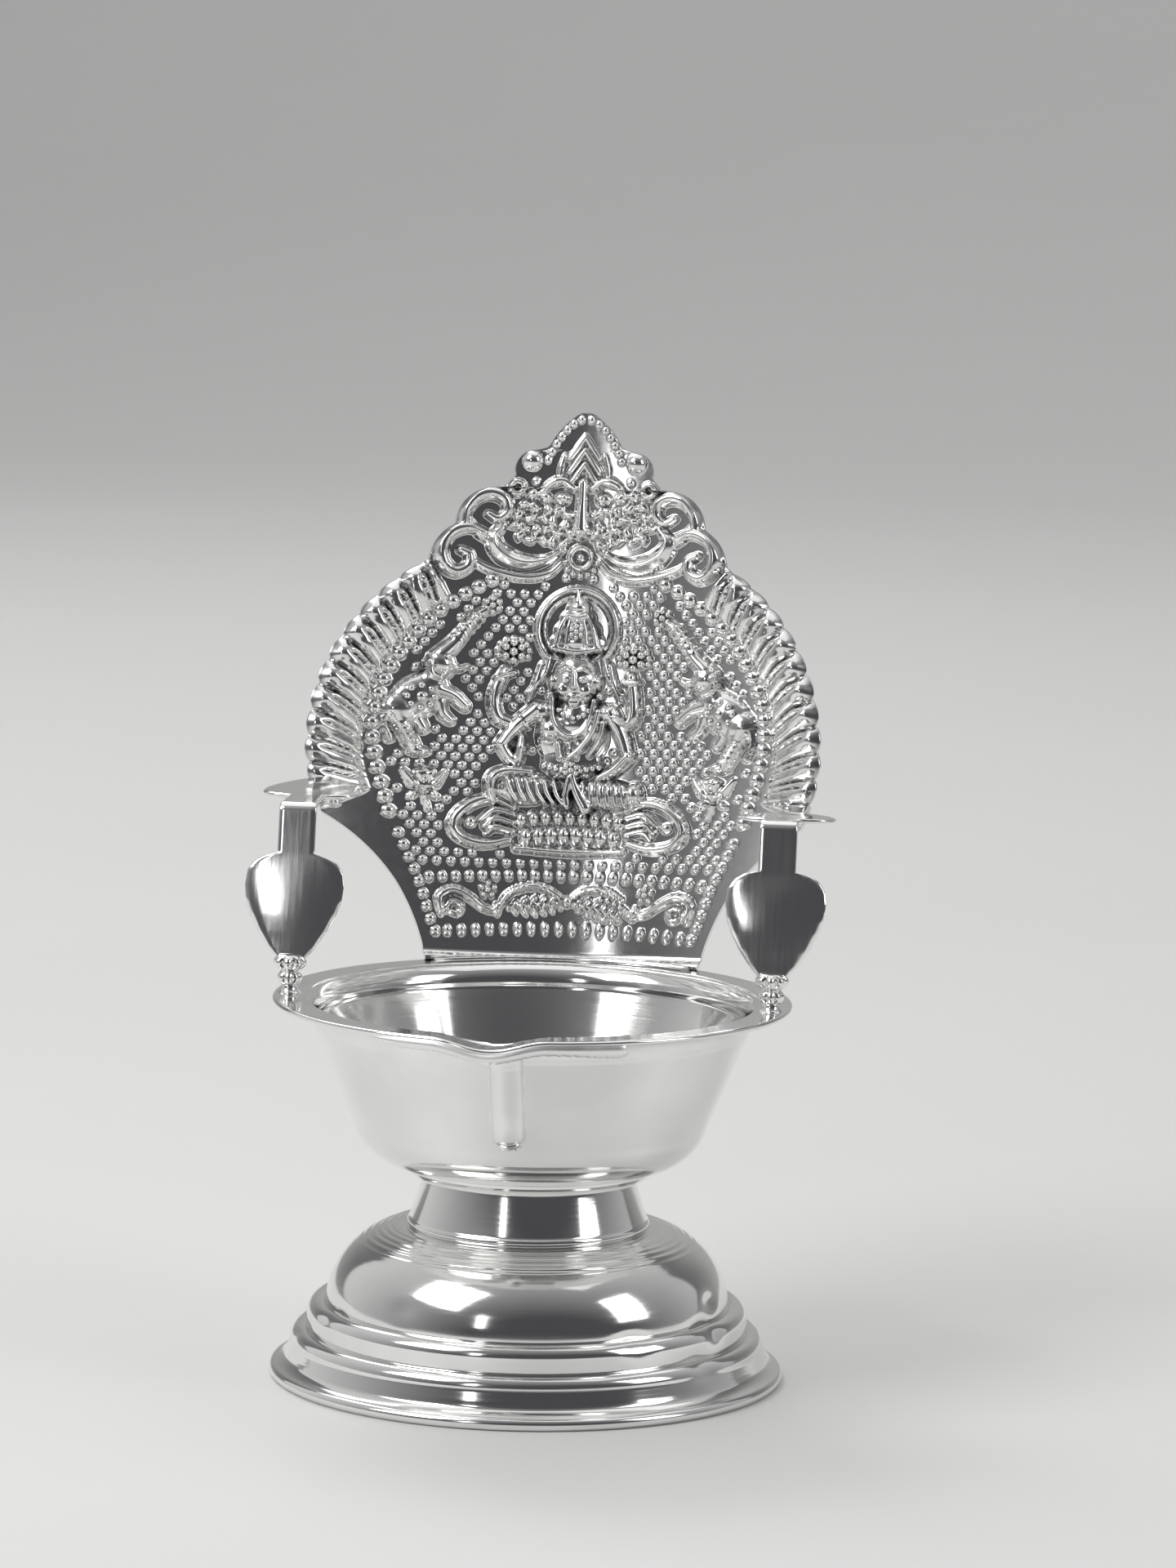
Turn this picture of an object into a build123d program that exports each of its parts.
"""Free-standing oil lamp in polished silver sheet: a stepped spun base, a flared collar, a spun bowl
with a wick spout, and an embossed back plate steadied by two leaf-shaped brackets.

Units are millimetres. +Z is up, the spout points to -Y and the back plate stands at +Y.
The origin is on the lamp's axis, on the surface that the lamp stands on.
"""

from build123d import *
from math import asin, cos, degrees, radians, sin, tan
import os

# Spun base
FOOT_RADIUS = 34.8
FOOT_BEAD = 1.6
FLANGE_RADIUS = 32.6
FLANGE_RISE = 0.9
LOWER_STEP_RADIUS = 32.0
LOWER_STEP_HEIGHT = 3.9
UPPER_STEP_RADIUS = 29.8
UPPER_STEP_HEIGHT = 3.6
STEP_ROUND = 1.7
DOME_RADIUS = 27.3
DOME_HEIGHT = 10.4
DOME_SHOULDER = 1.0
BASE_SHEET = 0.7

# Flared collar between base and bowl
COLLAR_FOOT_RADIUS = 16.4
COLLAR_TOP_RADIUS = 14.4
COLLAR_HEIGHT = 7.0
COLLAR_CURL = 1.2
COLLAR_SHEET = 0.7

# Foot ring under the bowl
RING_RADIUS = 17.1
RING_BORE = 12.0
RING_HEIGHT = 1.6
RING_EDGE = 0.4

# Spun bowl with a flat rim
BOWL_FLOOR_RADIUS = 17.3
BOWL_BELLY_RADIUS = 23.9
BELLY_HEIGHT = 5.6
BOWL_THROAT_RADIUS = 29.2
FLARE_HEIGHT = 3.2
RIM_RADIUS = 35.0
RIM_WIDTH = 3.8
BOWL_HEIGHT = 22.5
BOWL_SHEET = 0.7
WALL_SHIFT = 0.4

# Spout: a shallow dip in the rim, a rib pressed outwards for the wick, and a lip strip below
DIP_WIDTH = 12.8
DIP_DEPTH = 1.3
RIB_RADIUS = 2.2
RIB_LENGTH = 12.5
RIB_SINK = 0.8
LIP_HALF_ANGLE = 28.5
LIP_WIDTH = 2.2
LIP_SHEET = 0.8
LIP_OVERHANG = 0.5

# Embossed back plate: part of a leaning cylinder, so that it is hollow towards the front
PLATE_CURVE_RADIUS = 55.0
PLATE_LEAN = 10.0
PLATE_INSET = 2.4
PLATE_SHEET = 0.6
PLATE_HEIGHT = 77.0
PLATE_FOOT_HALF_WIDTH = 18.9
PLATE_OVERHANG = 0.7
PLATE_WIDEST_HEIGHT = 29.5
SHOULDER_INSET = 2.3
PLATE_SHOULDER_HEIGHT = 19.2
CREST_HALF_WIDTH = 20.8
CREST_HEIGHT = 21.5
FOOT_STRIP_WIDTH = 3.0

# Relief on the plate, in three levels above its front face
RELIEF_LOW = 0.9
RELIEF_HIGH = 1.3
RELIEF_BODY = 2.1
ROPE_WIDTH = 6.2
RIDGE_PITCH = 3.35
RIDGE_WIDTH = 2.4
RIDGE_INSET = 0.35
RIDGE_SLANT = 15.0
BORDER_BEAD = 1.9
BORDER_BEAD_PITCH = 2.8
BORDER_BEAD_INSET = 8.0
HALO_RADIUS = 6.2
HALO_BAND = 1.0
HALO_HEIGHT = 46.7
FIGURE_LIMB = 2.0
ELEPHANT_LIMB = 1.7
FRIEZE_HEIGHT = 7.6
FRIEZE_STEM = 1.2

# Leaf brackets and the cast buds that hold them on the rim
BUD_INSET = 2.4
BRACKET_SHEET = 0.6
BRACKET_FRONT = -3.3
BRACKET_LEAN = 11.5
STRAP_WIDTH = 5.1
STRAP_RISE = 25.1
LOWER_STRAP = 6.8
UPPER_STRAP = 7.0
BEND_RADIUS = 1.1
LEAF_WIDTH = 13.5
LEAF_LENGTH = 15.1
LEAF_NECK = 1.3
LEFT_LEAF_RISE = 2.0
RIGHT_LEAF_RISE = -5.0
BUD_FOOT_RADIUS = 1.6
BUD_WAIST_RADIUS = 1.1
BUD_HEIGHT = 3.0
BUD_SEAT_DEPTH = 1.6

# Stud, washer and nut that clamp bowl, collar and base together
STUD_RADIUS = 2.5
STUD_HEAD_RADIUS = 6.0
STUD_HEAD = 1.0
STUD_LENGTH = 15.4
NUT_ACROSS_FLATS = 8.0
NUT_HEIGHT = 4.0
WASHER_RADIUS = 8.0
WASHER_SHEET = 1.0

# Fits
THREAD_CLEARANCE = 0.05
STUD_CLEARANCE = 0.35
SLOT_CLEARANCE = 0.05
SOLDER_GAP = 0.05

# Levels and places that follow from the sizes above
FLANGE_TOP = FOOT_BEAD + FLANGE_RISE
LOWER_STEP_TOP = FLANGE_TOP + LOWER_STEP_HEIGHT
UPPER_STEP_TOP = LOWER_STEP_TOP + UPPER_STEP_HEIGHT
BASE_TOP = UPPER_STEP_TOP + DOME_HEIGHT
COLLAR_TOP = BASE_TOP + COLLAR_HEIGHT
BOWL_BOTTOM = COLLAR_TOP + RING_HEIGHT
RIM_TOP = BOWL_BOTTOM + BOWL_HEIGHT
RIM_UNDERSIDE = RIM_TOP - BOWL_SHEET
MOUTH_RADIUS = RIM_RADIUS - RIM_WIDTH
PLATE_SETBACK = RIM_RADIUS - PLATE_INSET
PLATE_HALF_WIDTH = RIM_RADIUS + PLATE_OVERHANG
PLATE_SHOULDER_HALF_WIDTH = PLATE_HALF_WIDTH - SHOULDER_INSET
BRACKET_OFFSET = RIM_RADIUS - BUD_INSET
STRAP_TOP = RIM_TOP + STRAP_RISE
STUD_BORE = STUD_RADIUS + STUD_CLEARANCE
REACH = 4 * RIM_RADIUS
DIP_RADIUS = (DIP_WIDTH**2 / 4 + DIP_DEPTH**2) / (2 * DIP_DEPTH)

# Frames of the back plate: its cylinder's axis, and the front view that its outline is drawn in
LEAN_SIN = sin(radians(PLATE_LEAN))
LEAN_COS = cos(radians(PLATE_LEAN))
PLATE_UP = Vector(0, LEAN_SIN, LEAN_COS)
PLATE_FRONT = Vector(0, -LEAN_COS, LEAN_SIN)
PLATE_FOOT = Vector(0, PLATE_SETBACK, RIM_TOP)
PLATE_AXIS = Plane(PLATE_FOOT + PLATE_FRONT * PLATE_CURVE_RADIUS, x_dir=(1, 0, 0), z_dir=PLATE_UP)
PLATE_VIEW = Plane(PLATE_FOOT, x_dir=(1, 0, 0), z_dir=PLATE_FRONT)


def turned(edges):
    """Solid of revolution about Z of closed edges whose X is the radius and whose Y is the height."""
    return revolve(Plane.XZ * make_face(edges), Axis.Z)


def closed_with(edges, *corners):
    """The edges of an open profile, closed by straight lines through the given corners."""
    return list(edges) + list(Polyline(edges[-1] @ 1, *corners, edges[0] @ 0).edges())


def shifted(edges, across, up):
    """The edges of a profile moved across and up in its own plane."""
    return [Pos(across, up) * edge for edge in edges]


def ring_sector(inner, outer, middle_angle, half_angle):
    """Flat sector of a ring about the origin."""
    outer_arc = CenterArc((0, 0), outer, middle_angle - half_angle, 2 * half_angle)
    inner_arc = CenterArc((0, 0), inner, middle_angle - half_angle, 2 * half_angle)
    ends = [Line(outer_arc @ 1, inner_arc @ 1), Line(inner_arc @ 0, outer_arc @ 0)]
    return make_face([outer_arc, inner_arc] + ends)


def above(level):
    """Block that fills the space above a level."""
    return Pos(0, 0, level + REACH / 2) * Box(2 * REACH, 2 * REACH, REACH)


def bar(start, end, width):
    """Flat round-ended bar between two points of a front view."""
    run = Vector(*end) - Vector(*start)
    middle = (Vector(*start) + Vector(*end)) * 0.5
    turn = Vector(1, 0).get_signed_angle(run, Vector(0, 0, 1))
    return Pos(middle.X, middle.Y) * Rot(0, 0, turn) * SlotCenterToCenter(run.length, width)


def mirrored(sketch):
    """A sketch of the right half together with its mirror image."""
    return sketch + mirror(sketch, Plane.YZ)


def joined(sketches):
    """One sketch out of several."""
    return Sketch() + list(sketches)


def base_profile():
    """Outer profile of the base, from its lower edge up to the edge of its flat top."""
    bead_edge = FOOT_RADIUS - FOOT_BEAD / 3
    lower_corner = LOWER_STEP_TOP - STEP_ROUND
    upper_corner = UPPER_STEP_TOP - STEP_ROUND
    shoulder = COLLAR_FOOT_RADIUS + DOME_SHOULDER
    dome_middle = (shoulder + 0.76 * (DOME_RADIUS - shoulder), UPPER_STEP_TOP + 0.6 * DOME_HEIGHT)
    lower_middle = (LOWER_STEP_RADIUS - STEP_ROUND / 4, LOWER_STEP_TOP - STEP_ROUND / 4)
    upper_middle = (UPPER_STEP_RADIUS - STEP_ROUND / 4, UPPER_STEP_TOP - STEP_ROUND / 4)
    return [
        ThreePointArc((bead_edge, 0), (FOOT_RADIUS, FOOT_BEAD / 2), (bead_edge, FOOT_BEAD)),
        Line((bead_edge, FOOT_BEAD), (FLANGE_RADIUS, FLANGE_TOP)),
        Line((FLANGE_RADIUS, FLANGE_TOP), (LOWER_STEP_RADIUS, lower_corner)),
        ThreePointArc(
            (LOWER_STEP_RADIUS, lower_corner), lower_middle, (UPPER_STEP_RADIUS, LOWER_STEP_TOP)
        ),
        Line((UPPER_STEP_RADIUS, LOWER_STEP_TOP), (UPPER_STEP_RADIUS, upper_corner)),
        ThreePointArc((UPPER_STEP_RADIUS, upper_corner), upper_middle, (DOME_RADIUS, UPPER_STEP_TOP)),
        ThreePointArc((DOME_RADIUS, UPPER_STEP_TOP), dome_middle, (shoulder, BASE_TOP)),
    ]


def make_base_shell():
    """Spun base, open below, with a bore in its flat top for the stud."""
    profile = base_profile()
    outside = turned(closed_with(profile, (0, BASE_TOP), (0, 0)))
    hollow = shifted(profile[1:], -BASE_SHEET, -BASE_SHEET)
    rolled_edge = (hollow[0] @ 0).X
    inside = turned(
        closed_with(hollow, (0, BASE_TOP - BASE_SHEET), (0, -BASE_SHEET), (rolled_edge, -BASE_SHEET))
    )
    return outside - inside - Cylinder(STUD_BORE, REACH)


def make_neck_collar():
    """Spun collar that flares towards the base, closed above by a web with a bore for the stud."""
    curl = COLLAR_FOOT_RADIUS - COLLAR_CURL / 4
    waist = (COLLAR_FOOT_RADIUS + COLLAR_TOP_RADIUS) / 2 - 0.1
    profile = [
        ThreePointArc(
            (curl, BASE_TOP),
            (COLLAR_FOOT_RADIUS, BASE_TOP + COLLAR_CURL / 2),
            (curl, BASE_TOP + COLLAR_CURL),
        ),
        ThreePointArc(
            (curl, BASE_TOP + COLLAR_CURL),
            (waist, BASE_TOP + COLLAR_HEIGHT / 2),
            (COLLAR_TOP_RADIUS, COLLAR_TOP - RING_EDGE),
        ),
        Line((COLLAR_TOP_RADIUS, COLLAR_TOP - RING_EDGE), (COLLAR_TOP_RADIUS - RING_EDGE, COLLAR_TOP)),
    ]
    outside = turned(closed_with(profile, (0, COLLAR_TOP), (0, BASE_TOP)))
    hollow = shifted(profile, -COLLAR_SHEET, -COLLAR_SHEET)
    inside = turned(closed_with(hollow, (0, COLLAR_TOP - COLLAR_SHEET), (0, BASE_TOP - COLLAR_SHEET)))
    return outside - inside - Pos(0, 0, COLLAR_TOP) * Cylinder(STUD_BORE, 2 * COLLAR_HEIGHT)


def make_bowl_foot_ring():
    """Round-edged ring soldered under the bowl, which seats on the collar."""
    inner_edge = RING_RADIUS - RING_HEIGHT
    profile = [
        Line((RING_BORE, COLLAR_TOP), (inner_edge, COLLAR_TOP)),
        ThreePointArc(
            (inner_edge, COLLAR_TOP),
            (RING_RADIUS - RING_EDGE, COLLAR_TOP + RING_HEIGHT / 2),
            (RING_RADIUS, BOWL_BOTTOM - RING_EDGE),
        ),
        Line((RING_RADIUS, BOWL_BOTTOM - RING_EDGE), (RING_RADIUS, BOWL_BOTTOM)),
    ]
    return turned(closed_with(profile, (RING_BORE, BOWL_BOTTOM)))


def bowl_wall():
    """Outer profile of the bowl from the edge of its floor up to the underside of its rim."""
    belly = (BOWL_BELLY_RADIUS, BOWL_BOTTOM + BELLY_HEIGHT)
    throat = (BOWL_THROAT_RADIUS, RIM_UNDERSIDE - FLARE_HEIGHT)
    belly_middle = (
        BOWL_FLOOR_RADIUS + 0.68 * (BOWL_BELLY_RADIUS - BOWL_FLOOR_RADIUS),
        BOWL_BOTTOM + 0.36 * BELLY_HEIGHT,
    )
    flare_middle = (
        BOWL_THROAT_RADIUS + 0.32 * (MOUTH_RADIUS - BOWL_THROAT_RADIUS),
        RIM_UNDERSIDE - 0.3 * FLARE_HEIGHT,
    )
    return [
        ThreePointArc((BOWL_FLOOR_RADIUS, BOWL_BOTTOM), belly_middle, belly),
        Line(belly, throat),
        ThreePointArc(throat, flare_middle, (MOUTH_RADIUS, RIM_UNDERSIDE)),
    ]


def dip(extra):
    """Cylinder along Y whose lowest line is the bottom of the spout's dip, made larger by extra."""
    axis_height = RIM_TOP - DIP_DEPTH + DIP_RADIUS
    return Pos(0, -RIM_RADIUS, axis_height) * Rot(90, 0, 0) * Cylinder(DIP_RADIUS + extra, RIM_RADIUS)


def wick_rib(radius, rise):
    """Round-ended rod along the front of the bowl's wall, which rises past the throat by some length."""
    run = RIM_UNDERSIDE - FLARE_HEIGHT - BOWL_BOTTOM - BELLY_HEIGHT
    slope = degrees(asin((BOWL_THROAT_RADIUS - BOWL_BELLY_RADIUS) / run))
    throat = Pos(0, RIB_SINK - BOWL_THROAT_RADIUS, RIM_UNDERSIDE - FLARE_HEIGHT) * Rot(slope, 0, 0)
    length = RIB_LENGTH + rise
    rod = Pos(0, 0, rise - length / 2) * Cylinder(radius, length)
    return throat * (rod + Pos(0, 0, -RIB_LENGTH) * Sphere(radius))


def make_bowl():
    """Spun bowl with its flat rim, the dip of the spout and the pressed wick rib."""
    wall = bowl_wall()
    edge = RIM_RADIUS - BOWL_SHEET / 2
    rim = [
        Line((MOUTH_RADIUS, RIM_UNDERSIDE), (edge, RIM_UNDERSIDE)),
        ThreePointArc(
            (edge, RIM_UNDERSIDE), (RIM_RADIUS, RIM_TOP - BOWL_SHEET / 2), (edge, RIM_TOP)
        ),
    ]
    outside = turned(closed_with(wall + rim, (0, RIM_TOP), (0, BOWL_BOTTOM)))
    hollow = shifted(wall, -WALL_SHIFT, BOWL_SHEET)
    mouth = hollow[-1] @ 1
    inside = turned(closed_with(hollow, (mouth.X, REACH), (0, REACH), (0, BOWL_BOTTOM + BOWL_SHEET)))
    saddle_edge = RIM_RADIUS - BOWL_SHEET / 4
    saddle_ring = ring_sector(MOUTH_RADIUS - BOWL_SHEET, saddle_edge, 270, LIP_HALF_ANGLE)
    saddle_block = Pos(0, 0, RIM_TOP - 2 * DIP_DEPTH) * extrude(saddle_ring, 2 * DIP_DEPTH)
    saddle = saddle_block & dip(BOWL_SHEET)
    shell = (outside + wick_rib(RIB_RADIUS, FLARE_HEIGHT / 2) - inside) + saddle
    return shell - dip(0) - wick_rib(RIB_RADIUS - BOWL_SHEET, 2 * FLARE_HEIGHT)


def make_spout_lip():
    """Strip soldered under the front of the rim, which follows the dip of the spout."""
    outer = RIM_RADIUS + LIP_OVERHANG
    sector = ring_sector(outer - LIP_WIDTH, outer, 270, LIP_HALF_ANGLE)
    flat = Pos(0, 0, RIM_UNDERSIDE - LIP_SHEET) * extrude(sector, LIP_SHEET)
    depth = 2 * DIP_DEPTH + LIP_SHEET
    deep = Pos(0, 0, RIM_UNDERSIDE - depth) * extrude(sector, depth)
    return (flat + (deep & dip(BOWL_SHEET + LIP_SHEET))) - dip(BOWL_SHEET)


def plate_outline():
    """Right half of the plate's front outline, from the middle of its foot up to its tip."""
    crest = PLATE_HEIGHT - CREST_HEIGHT
    foot = (PLATE_FOOT_HALF_WIDTH, -PLATE_SHEET * 5)
    ankle = (PLATE_FOOT_HALF_WIDTH + 0.7, 2.0)
    shoulder = (PLATE_SHOULDER_HALF_WIDTH, PLATE_SHOULDER_HEIGHT)
    widest = (PLATE_HALF_WIDTH, PLATE_WIDEST_HEIGHT)
    hollow_edge = (ankle[0] + 0.34 * (shoulder[0] - ankle[0]), 0.59 * PLATE_SHOULDER_HEIGHT)
    rope_low = (
        PLATE_HALF_WIDTH - 0.2 * (PLATE_HALF_WIDTH - PLATE_SHOULDER_HALF_WIDTH),
        (PLATE_SHOULDER_HEIGHT + PLATE_WIDEST_HEIGHT) / 2,
    )
    rope_high = (
        CREST_HALF_WIDTH + 0.82 * (PLATE_HALF_WIDTH - CREST_HALF_WIDTH),
        PLATE_WIDEST_HEIGHT + 0.47 * (crest - PLATE_WIDEST_HEIGHT),
    )
    lower_scroll_end = (17.45, crest + 5.1)
    upper_scroll_end = (11.15, crest + 10.5)
    ball_start = (9.55, crest + 12.3)
    ball_end = (6.5, crest + 16.1)
    tip_start = (5.1, crest + 16.5)
    return [
        Line((0, foot[1]), foot),
        Line(foot, ankle),
        ThreePointArc(ankle, hollow_edge, shoulder),
        ThreePointArc(shoulder, rope_low, widest),
        ThreePointArc(widest, rope_high, (CREST_HALF_WIDTH, crest)),
        ThreePointArc((CREST_HALF_WIDTH, crest), (20.1, crest + 2.4), lower_scroll_end),
        ThreePointArc(lower_scroll_end, (15.9, crest + 8.9), upper_scroll_end),
        Line(upper_scroll_end, ball_start),
        ThreePointArc(ball_start, (9.15, crest + 14.8), ball_end),
        Line(ball_end, tip_start),
        ThreePointArc(tip_start, (2.9, crest + 19.7), (1.3, crest + 21.1)),
        ThreePointArc((1.3, crest + 21.1), (0.75, crest + 21.4), (0, PLATE_HEIGHT)),
    ]


def rope_places(pitch, inset):
    """Points and directions spread along the plate's rope border, inset from its outer edge."""
    low, high = plate_outline()[3:5]
    count = int((low.length + high.length) / pitch)
    places = []
    for step in range(count):
        along = pitch * (step + 0.5)
        on_low = along < low.length
        edge = low if on_low else high
        share = along / low.length if on_low else (along - low.length) / high.length
        direction = edge % share
        inward = Vector(-direction.Y, direction.X)
        places.append((edge @ share + inward * inset, direction))
    return places


def border_relief():
    """Slanted ridges of the rope border and the row of beads inside it."""
    ridges = []
    for place, direction in rope_places(RIDGE_PITCH, ROPE_WIDTH / 2 + RIDGE_INSET):
        turn = degrees(asin(direction.Y)) if direction.X > 0 else 180 - degrees(asin(direction.Y))
        ridge = SlotCenterToCenter(ROPE_WIDTH - RIDGE_WIDTH, RIDGE_WIDTH)
        ridges.append(Pos(place.X, place.Y) * Rot(0, 0, turn + 90 + RIDGE_SLANT) * ridge)
    beads = [
        Pos(place.X, place.Y) * Circle(BORDER_BEAD / 2)
        for place, _ in rope_places(BORDER_BEAD_PITCH, BORDER_BEAD_INSET)
    ]
    return joined(ridges), joined(beads)


def figure_body():
    """Front view of the seated figure's fullest forms: head, crown, chest and folded legs."""
    return joined(
        [
            Pos(0, 40.2) * Ellipse(2.6, 3.4),
            Pos(0, 46.0) * Ellipse(2.7, 4.4),
            Pos(0, 32.4) * Ellipse(4.7, 4.0),
            Pos(0, 24.4) * Ellipse(9.8, 1.9),
        ]
    )


def figure_relief():
    """Front view of the seated figure with its halo, arms, lotuses and lotus seat."""
    middle = [
        Pos(0, 40.3) * Ellipse(3.3, 3.9),
        Pos(0, 46.0) * Ellipse(3.5, 5.4),
        Pos(0, 32.2) * Ellipse(6.4, 5.4),
        Pos(0, 24.4) * Ellipse(10.9, 2.7),
        Pos(0, 18.0) * Ellipse(8.2, 3.0),
        Pos(0, HALO_HEIGHT) * (Circle(HALO_RADIUS) - Circle(HALO_RADIUS - HALO_BAND)),
    ]
    right = [
        bar((6.6, 35.7), (9.9, 36.2), FIGURE_LIMB),
        bar((9.9, 36.2), (8.9, 42.2), FIGURE_LIMB),
        Pos(8.9, 43.0) * Circle(1.1 * FIGURE_LIMB),
        bar((6.3, 35.4), (9.2, 30.2), FIGURE_LIMB),
        bar((9.2, 30.2), (5.8, 28.2), FIGURE_LIMB),
        Pos(12.4, 19.0) * Rot(0, 0, -14) * (Ellipse(4.3, 3.3) - Ellipse(2.8, 1.9)),
    ]
    return joined(middle) + mirrored(joined(right))


def elephant_relief():
    """Front view of the right elephant with its trunk and one foreleg raised, and the sprig below it."""
    return joined(
        [
            Pos(22.4, 34.6) * Rot(0, 0, -32) * Ellipse(4.7, 3.2),
            Pos(18.8, 39.8) * Rot(0, 0, -60) * Ellipse(2.9, 2.2),
            bar((17.6, 42.2), (15.4, 45.2), ELEPHANT_LIMB),
            bar((15.4, 45.2), (12.7, 47.9), ELEPHANT_LIMB),
            bar((24.2, 32.4), (22.2, 28.3), ELEPHANT_LIMB),
            bar((21.8, 33.0), (20.9, 31.2), ELEPHANT_LIMB),
            bar((19.0, 36.4), (15.3, 34.4), ELEPHANT_LIMB),
            Pos(20.4, 24.6) * Ellipse(2.8, 1.2),
        ]
    )


def crest_relief():
    """Front view of the right half of the crest: scrolls, leaves, mask, ball and tip."""
    crest = PLATE_HEIGHT - CREST_HEIGHT
    return joined(
        [
            Pos(12.8, crest + 7.0) * (Circle(3.0) - Circle(1.7)),
            Pos(12.8, crest + 7.0) * Circle(0.8),
            Pos(17.0, crest + 1.5) * (Circle(2.5) - Circle(1.4)),
            Pos(7.3, crest + 14.4) * Circle(1.7),
            bar((12.0, crest + 2.6), (9.0, crest + 0.8), FIGURE_LIMB),
            bar((9.0, crest + 0.8), (2.6, crest + 1.6), FIGURE_LIMB),
            Pos(4.7, crest + 6.2) * Ellipse(3.6, 2.6),
            Pos(2.9, crest + 9.9) * Circle(1.8),
            Pos(1.0, crest + 15.6) * Ellipse(2.0, 3.6),
            Pos(0.4, crest + 7.6) * Ellipse(1.3, 3.4),
        ]
    )


def frieze_relief():
    """Front view of the right half of the wavy stem and the flower in the plate's lower panel."""
    waves = (-0.6, 1.5, -0.6, 1.9, 0.5)
    stem = [(17.0 - 4.2 * step, FRIEZE_HEIGHT + wave) for step, wave in enumerate(waves)]
    bars = [bar(start, end, FRIEZE_STEM) for start, end in zip(stem, stem[1:])]
    return joined(bars + [Pos(9.6, FRIEZE_HEIGHT + 2.0) * Circle(FRIEZE_STEM)])


def plate_shell(front, back):
    """Part of the plate's cylinder between two distances in front of and behind its front face."""
    outer = PLATE_CURVE_RADIUS + back
    ring = Circle(outer) - Circle(PLATE_CURVE_RADIUS - front)
    half = ring & Pos(0, outer) * Rectangle(2 * outer, 2 * outer)
    below = PLATE_SETBACK
    return extrude(PLATE_AXIS * Pos(0, 0, -below) * half, PLATE_HEIGHT + 2 * below)


def seen_from_front(sketch):
    """Prism of a sketch of the plate's front view, square to the plate's middle line."""
    return extrude(PLATE_VIEW * sketch, REACH / 2, both=True)


def make_back_plate():
    """Bent sheet with its scalloped outline, its relief, and a strip bent forward onto the rim."""
    edges = plate_outline()
    outline = mirrored(make_face(closed_with(edges)))
    sheet = seen_from_front(outline) & plate_shell(0, PLATE_SHEET)
    ridges, beads = border_relief()
    low = mirrored(beads + frieze_relief()) & outline
    high = mirrored(ridges + elephant_relief() + crest_relief()) + figure_relief() & outline
    levels = ((low, RELIEF_LOW), (high, RELIEF_HIGH), (figure_body(), RELIEF_BODY))
    for forms, rise in levels:
        sheet += seen_from_front(forms) & plate_shell(rise, PLATE_SHEET / 2)
    half_angle = degrees(asin(PLATE_FOOT_HALF_WIDTH / RIM_RADIUS))
    outer = RIM_RADIUS - BOWL_SHEET / 2
    strip = Pos(0, 0, RIM_TOP) * extrude(
        ring_sector(outer - FOOT_STRIP_WIDTH, outer, 90, half_angle), PLATE_SHEET
    )
    return (sheet & above(RIM_TOP)) + strip


def leaf_outline(strap_length, tongue_length):
    """Spade-shaped leaf that hangs from a strap, with a narrow tongue below its tip."""
    half = LEAF_WIDTH / 2
    neck = LEAF_NECK / 2
    strap = STRAP_WIDTH / 2
    side = Spline(
        (strap, 0),
        (0.78 * half, -0.07 * LEAF_LENGTH),
        (half, -0.28 * LEAF_LENGTH),
        (0.87 * half, -0.54 * LEAF_LENGTH),
        (0.5 * half, -0.85 * LEAF_LENGTH),
        (neck, -LEAF_LENGTH),
    )
    low = -LEAF_LENGTH - tongue_length
    edges = [Line((strap, strap_length), (strap, 0)), side]
    edges.append(Line((neck, -LEAF_LENGTH), (neck, low)))
    return mirrored(make_face(closed_with(edges, (0, low), (0, strap_length))))


def make_leaf_bracket(hand, rise):
    """Strip with a leaf at each end, bent once: one leaf hangs to the rim, one runs to the plate."""
    seat = RIM_TOP + BUD_HEIGHT - BUD_SEAT_DEPTH
    corner_height = STRAP_TOP - BRACKET_SHEET / 2
    corner = (BRACKET_FRONT + (corner_height - seat) * tan(radians(BRACKET_LEAN)), corner_height)
    reach = UPPER_STRAP + 2 * LEAF_LENGTH
    end = (corner[0] + reach, corner[1] + reach * tan(radians(rise)))
    path = FilletPolyline((BRACKET_FRONT, seat), corner, end, radius=BEND_RADIUS)
    side_view = trace(path, BRACKET_SHEET)
    strip = extrude(Plane.YZ * side_view, LEAF_WIDTH, both=True)
    leaf_top = STRAP_TOP - LOWER_STRAP
    lower = Plane.XZ * Pos(0, leaf_top) * leaf_outline(LOWER_STRAP / 2, leaf_top - LEAF_LENGTH - seat)
    upper_turn = Pos(0, corner[0] + UPPER_STRAP) * Rot(0, 0, 180)
    upper = upper_turn * leaf_outline(2 * UPPER_STRAP, LEAF_LENGTH)
    split = STRAP_TOP - LOWER_STRAP / 2
    lower_part = strip & extrude(lower, REACH, both=True) - above(split)
    upper_part = strip & extrude(upper, REACH) & above(split)
    in_front = PLATE_CURVE_RADIUS - RELIEF_HIGH - SOLDER_GAP
    room = PLATE_AXIS * Cylinder(in_front, REACH)
    return (Pos(hand * BRACKET_OFFSET, 0, 0) * (lower_part + upper_part)) & room


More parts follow.
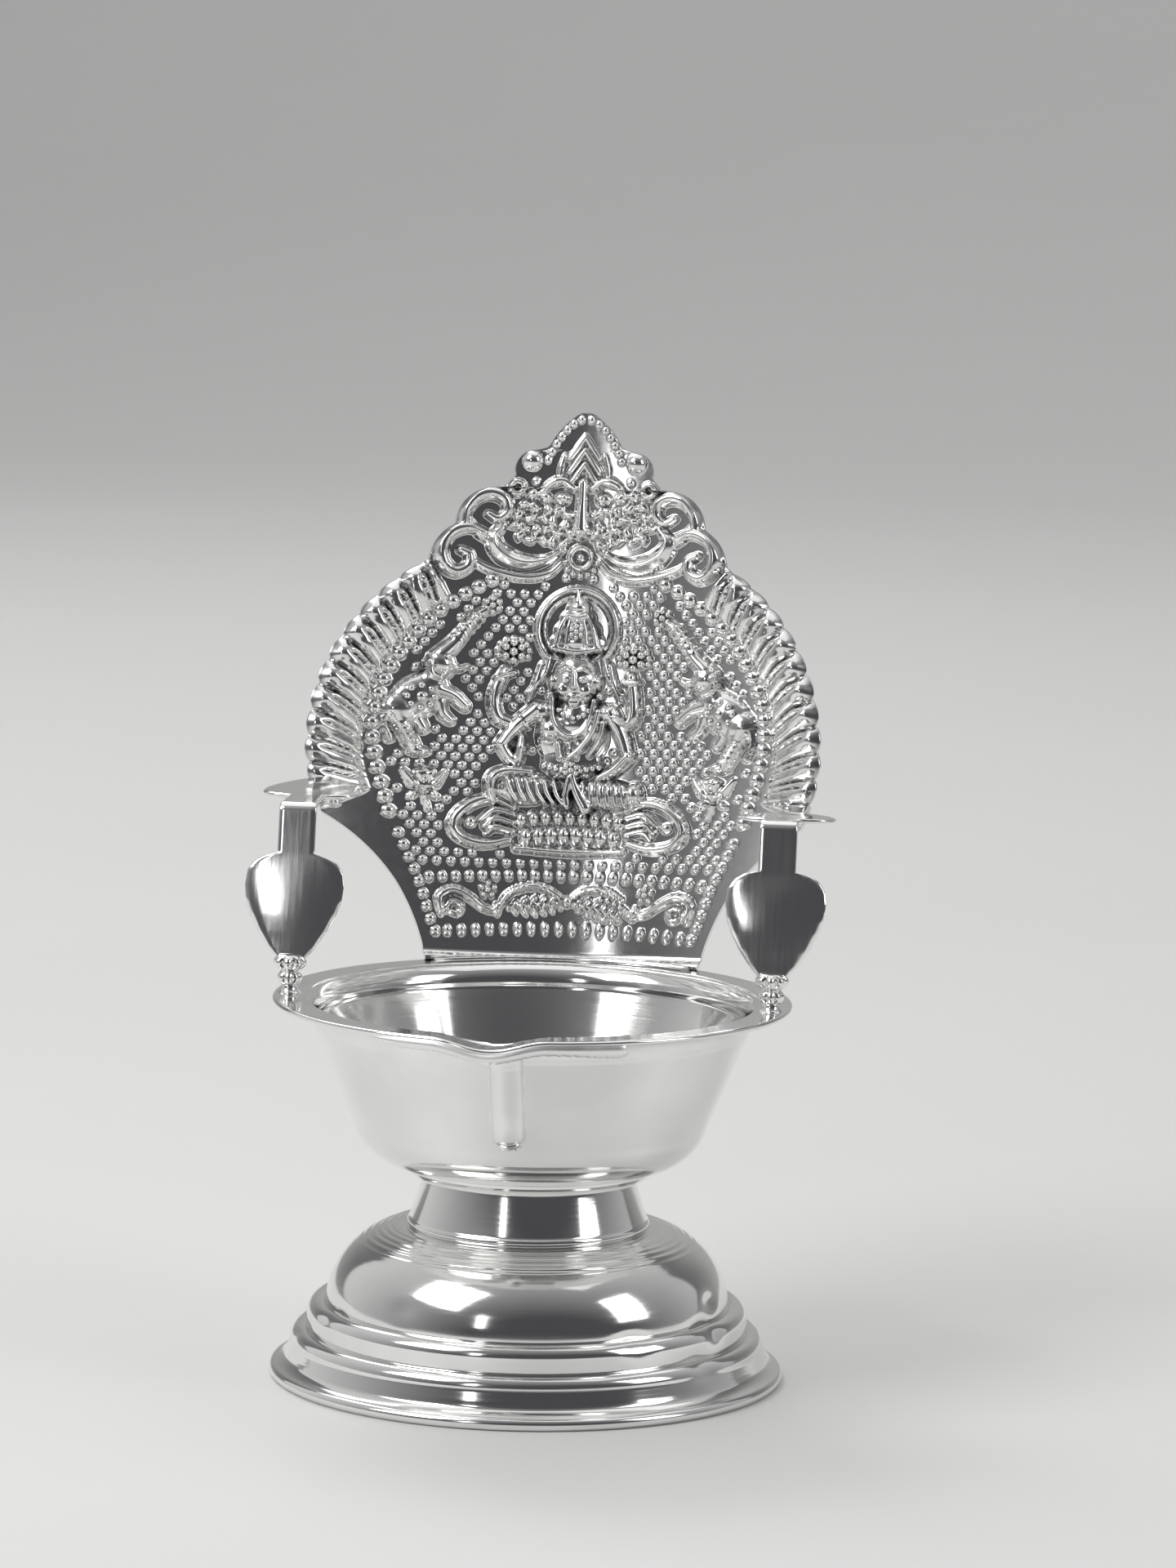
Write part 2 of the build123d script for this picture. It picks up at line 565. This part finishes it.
def make_rim_bud(hand):
    """Cast bud on the rim: a flared foot and two rings, slotted for the tip of the hanging leaf."""
    first = 0.36 * BUD_HEIGHT
    second = 0.70 * BUD_HEIGHT
    top = 0.95 * BUD_HEIGHT
    waist = BUD_WAIST_RADIUS
    profile = [
        ThreePointArc((BUD_FOOT_RADIUS, 0), (1.05 * waist, 0.5 * first), (waist, first)),
        ThreePointArc((waist, first), (1.4 * waist, (first + second) / 2), (waist, second)),
        ThreePointArc((waist, second), (1.2 * waist, (second + top) / 2), (0.8 * waist, top)),
    ]
    post = turned(closed_with(profile, (0.8 * waist, BUD_HEIGHT), (0, BUD_HEIGHT), (0, 0)))
    slot_width = LEAF_NECK + 2 * SLOT_CLEARANCE
    slot_depth = BRACKET_SHEET + 2 * SLOT_CLEARANCE
    slot_box = Pos(0, 0, BUD_HEIGHT / 2 - SLOT_CLEARANCE) * Box(slot_width, slot_depth, BUD_HEIGHT)
    slot = Pos(0, 0, BUD_HEIGHT - BUD_SEAT_DEPTH) * Rot(-BRACKET_LEAN, 0, 0) * slot_box
    return Pos(hand * BRACKET_OFFSET, BRACKET_FRONT, RIM_TOP) * (post - slot)


def make_tie_stud():
    """Threaded stud with a flat head that is soldered under the bowl's floor."""
    head = Pos(0, 0, BOWL_BOTTOM - STUD_HEAD / 2) * Cylinder(STUD_HEAD_RADIUS, STUD_HEAD)
    shank_top = BOWL_BOTTOM - STUD_HEAD / 2
    shank_length = STUD_LENGTH + RING_HEIGHT
    return head + Pos(0, 0, shank_top - shank_length / 2) * Cylinder(STUD_RADIUS, shank_length)


def make_clamp_washer():
    """Flat washer against the underside of the base's top."""
    middle = BASE_TOP - BASE_SHEET - WASHER_SHEET / 2
    return Pos(0, 0, middle) * (Cylinder(WASHER_RADIUS, WASHER_SHEET) - Cylinder(STUD_BORE, REACH))


def make_clamp_nut():
    """Hexagon nut on the stud, tight against the washer."""
    top = BASE_TOP - BASE_SHEET - WASHER_SHEET
    corner_radius = NUT_ACROSS_FLATS / 2 / cos(radians(30))
    hexagon = RegularPolygon(corner_radius, 6) - Circle(STUD_RADIUS + THREAD_CLEARANCE)
    return Pos(0, 0, top - NUT_HEIGHT) * extrude(hexagon, NUT_HEIGHT)


os.makedirs("parts", exist_ok=True)
export_step(make_base_shell(), "parts/base_shell.step")
export_step(make_neck_collar(), "parts/neck_collar.step")
export_step(make_bowl_foot_ring(), "parts/bowl_foot_ring.step")
export_step(make_bowl(), "parts/bowl.step")
export_step(make_spout_lip(), "parts/spout_lip.step")
export_step(make_back_plate(), "parts/back_plate.step")
for side, hand, rise in (("left", -1, LEFT_LEAF_RISE), ("right", 1, RIGHT_LEAF_RISE)):
    export_step(make_leaf_bracket(hand, rise), f"parts/{side}_leaf_bracket.step")
    export_step(make_rim_bud(hand), f"parts/{side}_rim_bud.step")
export_step(make_tie_stud(), "parts/tie_stud.step")
export_step(make_clamp_washer(), "parts/clamp_washer.step")
export_step(make_clamp_nut(), "parts/clamp_nut.step")
